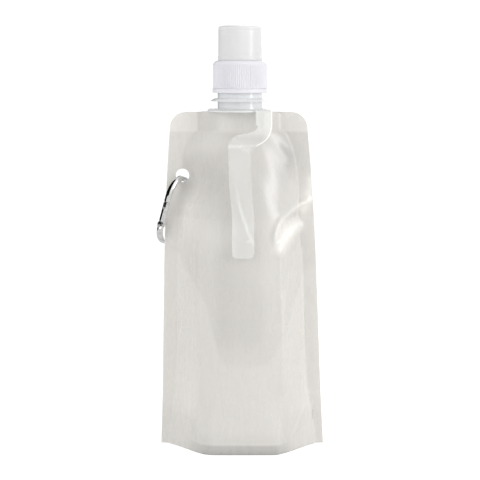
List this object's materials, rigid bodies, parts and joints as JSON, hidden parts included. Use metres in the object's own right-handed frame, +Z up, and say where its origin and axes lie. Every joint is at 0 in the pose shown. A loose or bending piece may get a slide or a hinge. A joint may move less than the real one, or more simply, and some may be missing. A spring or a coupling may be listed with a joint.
{
  "type": "folding water bottle",
  "caption": "Collapsible stand-up film pouch bottle with a screw spout, push-pull nozzle, dust cover, hanging strap and clip-on snap hook.",
  "frame": {"origin": "centre of the flat base that the bottle stands on", "axes": "+Z up through the spout, -Y towards the front, +X to the viewer's right"},
  "size_m": [0.103, 0.0566, 0.2586],
  "materials": {
    "film": "milky translucent film, glossy where it is tight",
    "spout_plastic": "natural translucent moulded plastic",
    "cap_plastic": "cool white moulded plastic with fine ribs",
    "nozzle_plastic": "smooth white moulded plastic",
    "cover_plastic": "frosted translucent",
    "strap_plastic": "clear flexible sheet",
    "seal_rubber": "soft pale sealing rubber",
    "polished_metal": "bright polished metal",
    "spring_steel": "plain spring wire"
  },
  "bodies": {
    "pouch": {"pouch_bottom_gusset": "film", "spout_fitment": "spout_plastic", "tamper_band": "cap_plastic"},
    "front_film": {"pouch_front_panel": "film"},
    "back_film": {"pouch_back_panel": "film"},
    "liner": {"cap_liner": "seal_rubber"},
    "cap": {"screw_collar": "cap_plastic", "nozzle_seal_ring": "seal_rubber"},
    "nozzle": {"push_pull_nozzle": "nozzle_plastic"},
    "cover": {"dust_cover": "cover_plastic"},
    "ring": {"strap_ring": "strap_plastic"},
    "strap": {"neck_strap": "strap_plastic"},
    "hook": {"carabiner_frame": "polished_metal", "gate_rivet": "polished_metal", "gate_spring": "spring_steel"},
    "gate": {"carabiner_gate": "polished_metal", "gate_latch_pin": "polished_metal"}
  },
  "joints": [
    {"name": "front_flatten", "type": "slide", "parent": "pouch", "child": "front_film", "axis": [0, 1, 0], "range_m": [0, 0.0235], "deforming": ["pouch_front_panel", "pouch_bottom_gusset"]},
    {"name": "back_flatten", "type": "slide", "parent": "pouch", "child": "back_film", "axis": [0, -1, 0], "range_m": [0, 0.0235], "deforming": ["pouch_back_panel"]},
    {"name": "cap_lift", "type": "slide", "parent": "pouch", "child": "liner", "axis": [0, 0, 1], "range_m": [0, 0.0081]},
    {"name": "cap_turn", "type": "hinge", "parent": "liner", "child": "cap", "pos_m": [0, 0, 0.229], "axis": [0, 0, 1], "range_deg": [0, 720]},
    {"name": "nozzle_pull", "type": "slide", "parent": "cap", "child": "nozzle", "axis": [0, 0, 1], "range_m": [0, 0.0065]},
    {"name": "cover_off", "type": "slide", "parent": "cap", "child": "cover", "axis": [0, 0, 1], "range_m": [0, 0.04]},
    {"name": "ring_turn", "type": "hinge", "parent": "pouch", "child": "ring", "pos_m": [0, 0, 0.2085], "axis": [0, 0, 1], "range_deg": [-8, 8]},
    {"name": "strap_swing", "type": "hinge", "parent": "ring", "child": "strap", "pos_m": [0.01425, -0.01495, 0.205], "axis": [-0.7239, -0.6899, 0], "range_deg": [0, 90]},
    {"name": "hook_swing", "type": "hinge", "parent": "pouch", "child": "hook", "pos_m": [-0.0351, 0, 0.1683], "axis": [0, 1, 0], "range_deg": [0, 95]},
    {"name": "gate_open", "type": "hinge", "parent": "hook", "child": "gate", "pos_m": [-0.04808, -0.00438, 0.13868], "axis": [-0.8365, 0.4535, 0.3076], "range_deg": [0, 15], "stiffness_Nm_per_rad": 0.02, "springref_deg": -28.65, "deforming": ["gate_spring"]}
  ],
  "couplings": [
    {"joint": "back_flatten", "follows": "front_flatten", "ratio": 1},
    {"joint": "cap_lift", "follows": "cap_turn", "m_per_rad": 0.00063662}
  ]
}
